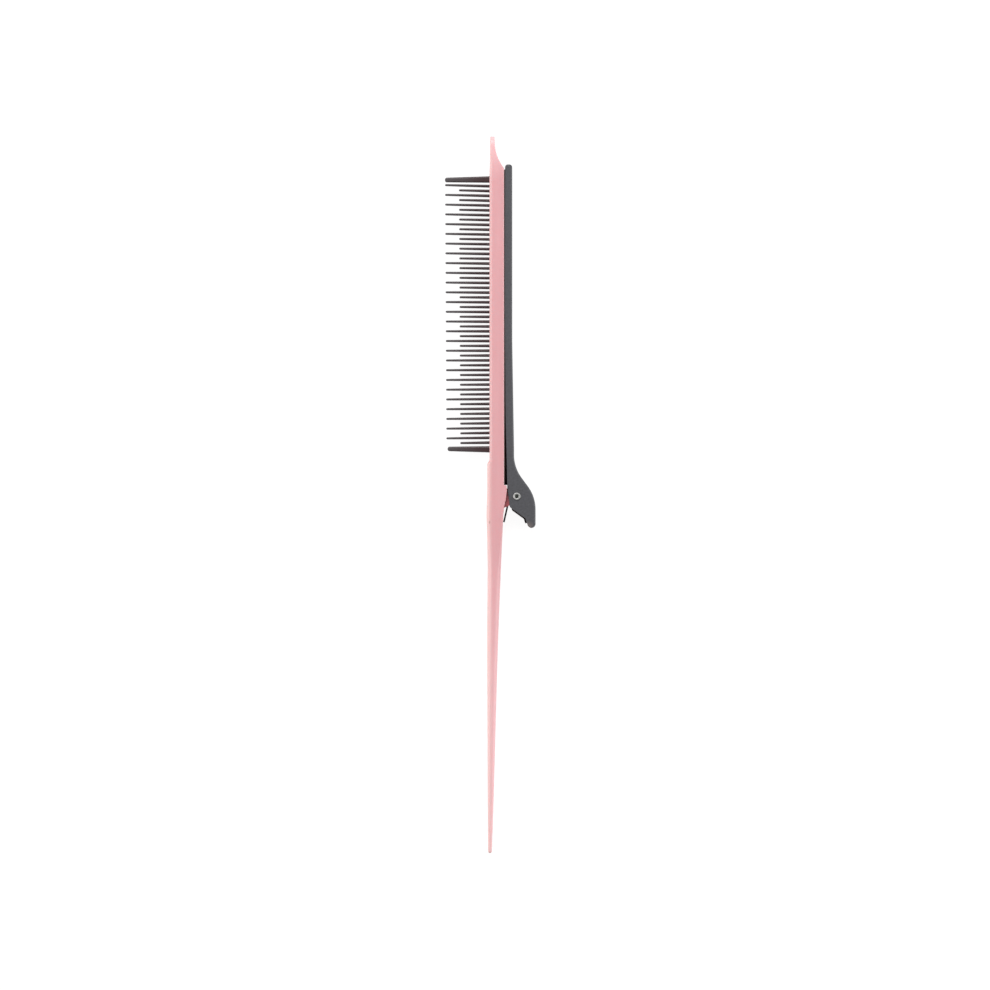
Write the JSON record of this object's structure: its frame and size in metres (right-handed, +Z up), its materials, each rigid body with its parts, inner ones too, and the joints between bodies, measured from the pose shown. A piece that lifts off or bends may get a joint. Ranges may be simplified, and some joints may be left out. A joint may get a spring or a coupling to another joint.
{
  "type": "rat tail comb",
  "caption": "Rat tail comb with a slim flat spine, one row of alternating long and short teeth, a tapered tail, and a sprung sectioning clip along its back.",
  "frame": {"origin": "middle of the comb's box, on the surface that it lies on", "axes": "+Y from the tail's tip to the head, -X the way the teeth point, +X the clip's side, +Z up through the comb lying on its flat side"},
  "size_m": [0.0304, 0.24, 0.009],
  "materials": {
    "pink_plastic": "satin moulded",
    "dark_plastic": "satin moulded",
    "grey_plastic": "fine moulded texture",
    "black_rubber": "matt",
    "nickel": "nickel plated, rolled",
    "black_steel": "black oxide spring wire"
  },
  "bodies": {
    "comb": {"spine": "pink_plastic", "comb_insert": "dark_plastic", "torsion_spring": "black_steel"},
    "clip": {"clip_lever": "grey_plastic", "grip_strip": "black_rubber", "hinge_rivet": "nickel"}
  },
  "joints": [
    {"name": "clip_hinge", "type": "hinge", "parent": "comb", "child": "clip", "pos_m": [0.0089, -0.00045, 0.0045], "axis": [0, 0, -1], "range_deg": [0, 32], "stiffness_Nm_per_rad": 0.06, "springref_deg": -34.38, "deforming": ["torsion_spring"]}
  ]
}
